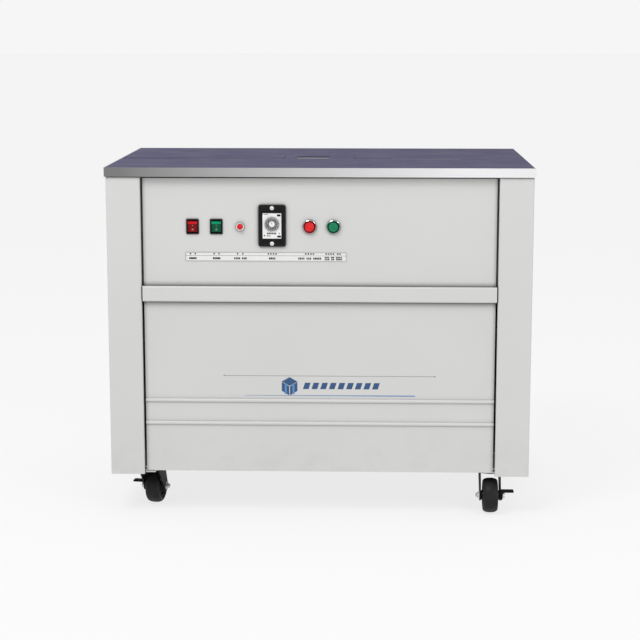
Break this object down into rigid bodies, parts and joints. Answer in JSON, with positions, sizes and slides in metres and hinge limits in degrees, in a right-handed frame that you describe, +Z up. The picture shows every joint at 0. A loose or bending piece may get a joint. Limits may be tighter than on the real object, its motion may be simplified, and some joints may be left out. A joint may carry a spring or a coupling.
{
  "type": "strapping machine",
  "caption": "Wheeled steel cabinet with a split table top; a strap slot runs over an internal heat-sealing head, with front controls and a strap reel behind the door.",
  "frame": {"origin": "on the floor under the middle of the table", "axes": "+X to the operator's right along the table, +Y away from the operator, +Z up"},
  "size_m": [0.9, 0.58, 0.746],
  "materials": {
    "cabinet_paint": "light grey powder coat",
    "table_laminate": "dark blue-violet laminate",
    "table_steel": "brushed stainless",
    "frame_steel": "grey primer",
    "bright_steel": "zinc plated",
    "head_steel": "ground steel",
    "caster_black": "black paint",
    "tyre_black": "black rubber",
    "black_plastic": "black moulded plastic",
    "red_plastic": "red moulded plastic",
    "green_plastic": "green moulded plastic",
    "chrome_ring": "chrome",
    "label_white": "white printed film",
    "dial_grey": "grey plastic",
    "motor_grey": "blue-grey enamel",
    "belt_rubber": "black belt",
    "reel_plastic": "black plastic"
  },
  "bodies": {
    "cabinet": {"left_side_panel": "cabinet_paint", "right_side_panel": "cabinet_paint", "control_panel": "cabinet_paint", "front_rail": "cabinet_paint", "rear_panel": "cabinet_paint", "cable_gland": "black_plastic", "base_frame": "frame_steel", "bottom_tray": "bright_steel", "upper_frame": "frame_steel", "deck_plate": "frame_steel", "table_hinge_hooks": "bright_steel", "door_hinge_pins": "bright_steel", "caster_plates": "bright_steel", "head_cover": "table_laminate", "head_block": "head_steel", "strap_channel": "bright_steel", "rocker_bezels": "black_plastic", "button_rings": "chrome_ring", "timer_case": "black_plastic", "label_plate": "label_white", "reel_stand": "frame_steel", "deck_brackets": "frame_steel", "motor": "motor_grey", "gearbox": "motor_grey", "drive_belt": "belt_rubber", "electrical_box": "motor_grey"},
    "front_table": {"front_table_pan": "table_steel", "front_table_sheet": "table_laminate"},
    "rear_table": {"rear_table_pan": "table_steel", "rear_table_sheet": "table_laminate"},
    "door": {"front_door": "cabinet_paint"},
    "slide_plate": {"slide_plate": "head_steel"},
    "left_gripper": {"left_gripper": "head_steel"},
    "right_gripper": {"right_gripper": "head_steel"},
    "centre_press": {"centre_press": "head_steel"},
    "heater_slide": {"heater_slide": "head_steel"},
    "power_rocker": {"power_rocker": "red_plastic"},
    "motor_rocker": {"motor_rocker": "green_plastic"},
    "reset_button": {"reset_button": "red_plastic"},
    "timer_knob": {"timer_knob": "dial_grey"},
    "red_push_button": {"red_push_button": "red_plastic"},
    "green_push_button": {"green_push_button": "green_plastic"},
    "reel": {"reel_core": "reel_plastic", "reel_front_flange": "reel_plastic"},
    "tension_arm": {"tension_arm": "bright_steel"},
    "motor_pulley": {"motor_pulley": "bright_steel"},
    "gearbox_pulley": {"gearbox_pulley": "bright_steel"},
    "camshaft": {"camshaft": "bright_steel"},
    "feed_roller": {"feed_roller": "belt_rubber"},
    "pinch_roller": {"pinch_roller": "belt_rubber"},
    "caster_front_left": {"caster_fork_front_left": "caster_black"},
    "wheel_front_left": {"caster_wheel_front_left": "tyre_black"},
    "brake_front_left": {"caster_brake_front_left": "caster_black"},
    "caster_front_right": {"caster_fork_front_right": "caster_black"},
    "wheel_front_right": {"caster_wheel_front_right": "tyre_black"},
    "brake_front_right": {"caster_brake_front_right": "caster_black"},
    "caster_rear_left": {"caster_fork_rear_left": "caster_black"},
    "wheel_rear_left": {"caster_wheel_rear_left": "tyre_black"},
    "caster_rear_right": {"caster_fork_rear_right": "caster_black"},
    "wheel_rear_right": {"caster_wheel_rear_right": "tyre_black"}
  },
  "joints": [
    {"name": "front_table_hinge", "type": "hinge", "parent": "cabinet", "child": "front_table", "pos_m": [0, -0.285, 0.74], "axis": [1, 0, 0], "range_deg": [0, 88]},
    {"name": "rear_table_hinge", "type": "hinge", "parent": "cabinet", "child": "rear_table", "pos_m": [0, 0.285, 0.74], "axis": [-1, 0, 0], "range_deg": [0, 88]},
    {"name": "door_hinge", "type": "hinge", "parent": "cabinet", "child": "door", "pos_m": [-0.363, -0.273, 0.28], "axis": [0, 0, -1], "range_deg": [0, 95]},
    {"name": "front_left_swivel", "type": "hinge", "parent": "cabinet", "child": "caster_front_left", "pos_m": [-0.368, -0.22, 0.09], "axis": [0, 0, 1], "continuous": true},
    {"name": "front_left_wheel_spin", "type": "hinge", "parent": "caster_front_left", "child": "wheel_front_left", "pos_m": [-0.36279, -0.19046, 0.0375], "axis": [0.9848, -0.1736, 0], "continuous": true},
    {"name": "front_left_brake", "type": "hinge", "parent": "caster_front_left", "child": "brake_front_left", "pos_m": [-0.36279, -0.19046, 0.0375], "axis": [0.9848, -0.1736, 0], "range_deg": [0, 25]},
    {"name": "front_right_swivel", "type": "hinge", "parent": "cabinet", "child": "caster_front_right", "pos_m": [0.368, -0.22, 0.09], "axis": [0, 0, 1], "continuous": true},
    {"name": "front_right_wheel_spin", "type": "hinge", "parent": "caster_front_right", "child": "wheel_front_right", "pos_m": [0.368, -0.25, 0.0375], "axis": [-1, 0, 0], "continuous": true},
    {"name": "front_right_brake", "type": "hinge", "parent": "caster_front_right", "child": "brake_front_right", "pos_m": [0.368, -0.25, 0.0375], "axis": [-1, 0, 0], "range_deg": [0, 25]},
    {"name": "rear_left_swivel", "type": "hinge", "parent": "cabinet", "child": "caster_rear_left", "pos_m": [-0.368, 0.22, 0.09], "axis": [0, 0, 1], "continuous": true},
    {"name": "rear_left_wheel_spin", "type": "hinge", "parent": "caster_rear_left", "child": "wheel_rear_left", "pos_m": [-0.368, 0.25, 0.0375], "axis": [1, 0, 0], "continuous": true},
    {"name": "rear_right_swivel", "type": "hinge", "parent": "cabinet", "child": "caster_rear_right", "pos_m": [0.368, 0.22, 0.09], "axis": [0, 0, 1], "continuous": true},
    {"name": "rear_right_wheel_spin", "type": "hinge", "parent": "caster_rear_right", "child": "wheel_rear_right", "pos_m": [0.368, 0.25, 0.0375], "axis": [1, 0, 0], "continuous": true},
    {"name": "slide_plate_slide", "type": "slide", "parent": "cabinet", "child": "slide_plate", "axis": [0, 1, 0], "range_m": [0, 0.022]},
    {"name": "left_gripper_lift", "type": "slide", "parent": "cabinet", "child": "left_gripper", "axis": [0, 0, 1], "range_m": [0, 0.005]},
    {"name": "right_gripper_lift", "type": "slide", "parent": "cabinet", "child": "right_gripper", "axis": [0, 0, 1], "range_m": [0, 0.005]},
    {"name": "centre_press_lift", "type": "slide", "parent": "cabinet", "child": "centre_press", "axis": [0, 0, 1], "range_m": [0, 0.0058]},
    {"name": "heater_slide_in", "type": "slide", "parent": "cabinet", "child": "heater_slide", "axis": [0, -1, 0], "range_m": [0, 0.024]},
    {"name": "power_rocker_tilt", "type": "hinge", "parent": "cabinet", "child": "power_rocker", "pos_m": [-0.2664, -0.275, 0.622], "axis": [-1, 0, 0], "range_deg": [0, 16]},
    {"name": "motor_rocker_tilt", "type": "hinge", "parent": "cabinet", "child": "motor_rocker", "pos_m": [-0.2164, -0.275, 0.622], "axis": [-1, 0, 0], "range_deg": [0, 16]},
    {"name": "reset_button_press", "type": "slide", "parent": "cabinet", "child": "reset_button", "axis": [0, 1, 0], "range_m": [0, 0.003], "stiffness_N_per_m": 400, "springref_m": -0.002},
    {"name": "red_push_button_press", "type": "slide", "parent": "cabinet", "child": "red_push_button", "axis": [0, 1, 0], "range_m": [0, 0.004], "stiffness_N_per_m": 400, "springref_m": -0.002},
    {"name": "green_push_button_press", "type": "slide", "parent": "cabinet", "child": "green_push_button", "axis": [0, 1, 0], "range_m": [0, 0.004], "stiffness_N_per_m": 400, "springref_m": -0.002},
    {"name": "timer_knob_turn", "type": "hinge", "parent": "cabinet", "child": "timer_knob", "pos_m": [-0.0992, -0.285, 0.628], "axis": [0, 1, 0], "range_deg": [0, 300]},
    {"name": "reel_spin", "type": "hinge", "parent": "cabinet", "child": "reel", "pos_m": [-0.19, -0.028, 0.34], "axis": [0, 1, 0], "continuous": true},
    {"name": "tension_arm_swing", "type": "hinge", "parent": "cabinet", "child": "tension_arm", "pos_m": [-0.33, -0.012, 0.59], "axis": [0, 1, 0], "range_deg": [0, 18], "stiffness_Nm_per_rad": 4, "springref_deg": -11.46},
    {"name": "motor_spin", "type": "hinge", "parent": "cabinet", "child": "motor_pulley", "pos_m": [0.2, -0.102, 0.215], "axis": [0, 1, 0], "continuous": true},
    {"name": "gearbox_input_spin", "type": "hinge", "parent": "cabinet", "child": "gearbox_pulley", "pos_m": [0.108, -0.102, 0.563], "axis": [0, 1, 0], "continuous": true},
    {"name": "camshaft_spin", "type": "hinge", "parent": "cabinet", "child": "camshaft", "pos_m": [0, -0.028, 0.6], "axis": [1, 0, 0], "continuous": true},
    {"name": "feed_roller_spin", "type": "hinge", "parent": "cabinet", "child": "feed_roller", "pos_m": [0.1364, -0.028, 0.69], "axis": [0, 1, 0], "continuous": true},
    {"name": "pinch_roller_spin", "type": "hinge", "parent": "cabinet", "child": "pinch_roller", "pos_m": [0.0976, -0.028, 0.69], "axis": [0, 1, 0], "continuous": true}
  ],
  "couplings": [
    {"joint": "motor_spin", "follows": "gearbox_input_spin", "ratio": 1.6143},
    {"joint": "camshaft_spin", "follows": "gearbox_input_spin", "ratio": 0.05},
    {"joint": "pinch_roller_spin", "follows": "feed_roller_spin", "ratio": -1.7143}
  ]
}
